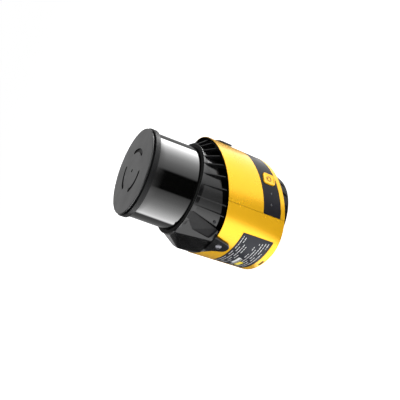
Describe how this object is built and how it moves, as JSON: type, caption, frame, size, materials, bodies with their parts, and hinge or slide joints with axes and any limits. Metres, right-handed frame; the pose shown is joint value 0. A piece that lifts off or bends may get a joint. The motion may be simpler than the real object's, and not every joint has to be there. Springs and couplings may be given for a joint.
{
  "type": "lidar scanner module",
  "caption": "Compact lidar module: a spinning optical head behind a cylindrical window, on a round swept housing with a finned front frame, power button and rear vents.",
  "frame": {"origin": "centre of the flat rear face, on the spin axis of the lidar head", "axes": "+Z along the spin axis, from the rear face towards the lidar cap; +X towards the top of the housing, where the mounting pad sits; the power button, lamps and rating label are on the -Y side"},
  "size_m": [0.1229, 0.1216, 0.161],
  "materials": {
    "cap_grey": "fine satin grain",
    "window_glass": "polished dark infrared filter",
    "seal_rubber": "matt black rubber",
    "frame_black": "satin black moulding",
    "shell_yellow": "satin yellow moulding",
    "panel_dark": "fine matt dark grey",
    "label_slate": "printed film",
    "lamp_clear": "clear light pipe",
    "steel": "turned steel",
    "dark_steel": "blackened steel",
    "alloy": "machined aluminium",
    "board_green": "solder mask over fibreglass",
    "winding": "enamelled copper winding",
    "lens_glass": "coated lens"
  },
  "bodies": {
    "housing": {"top_cap": "cap_grey", "cap_ring": "cap_grey", "cap_seal": "seal_rubber", "optical_window": "window_glass", "window_seal": "seal_rubber", "front_frame": "frame_black", "lug_screw_left": "dark_steel", "lug_screw_right": "dark_steel", "frame_screw_left": "dark_steel", "frame_screw_right": "dark_steel", "mount_pad": "frame_black", "pad_screw_1": "steel", "pad_screw_2": "steel", "upper_shell": "shell_yellow", "lower_shell": "shell_yellow", "control_panel": "panel_dark", "button_switch": "frame_black", "button_board": "board_green", "status_lamp_1": "lamp_clear", "status_lamp_2": "lamp_clear", "rating_label": "label_slate", "rear_plug": "seal_rubber", "rear_cap": "frame_black", "rear_screw_1": "steel", "rear_screw_2": "steel", "rear_screw_3": "steel", "rear_screw_4": "steel", "power_socket": "alloy", "antenna_socket": "steel", "fan_frame": "frame_black", "chassis_plate": "alloy", "chassis_post_1": "alloy", "chassis_post_2": "alloy", "chassis_post_3": "alloy", "chassis_post_4": "alloy", "power_board": "board_green", "main_board": "board_green", "gnss_board": "board_green", "imu_module": "alloy", "lidar_base": "frame_black", "motor_stator": "winding", "bearing_rear": "steel", "bearing_front": "steel"},
    "rotor": {"rotor_shaft": "steel", "rotor_table": "alloy", "magnet_ring": "steel", "encoder_disc": "steel", "optics_core": "frame_black", "emitter_lens": "lens_glass", "receiver_lens": "lens_glass", "emitter_board": "board_green", "receiver_board": "board_green", "balance_weight": "steel"},
    "fan": {"fan_rotor": "frame_black"},
    "button": {"power_button": "shell_yellow"}
  },
  "joints": [
    {"name": "rotor_spin", "type": "hinge", "parent": "housing", "child": "rotor", "pos_m": [0, 0, 0.09], "axis": [0, 0, 1], "continuous": true},
    {"name": "fan_spin", "type": "hinge", "parent": "housing", "child": "fan", "pos_m": [0, 0, 0.009], "axis": [0, 0, 1], "continuous": true},
    {"name": "button_press", "type": "slide", "parent": "housing", "child": "button", "axis": [-0.6534, 0.757, 0], "range_m": [0, 0.0008], "stiffness_N_per_m": 2500, "springref_m": -0.0002}
  ]
}
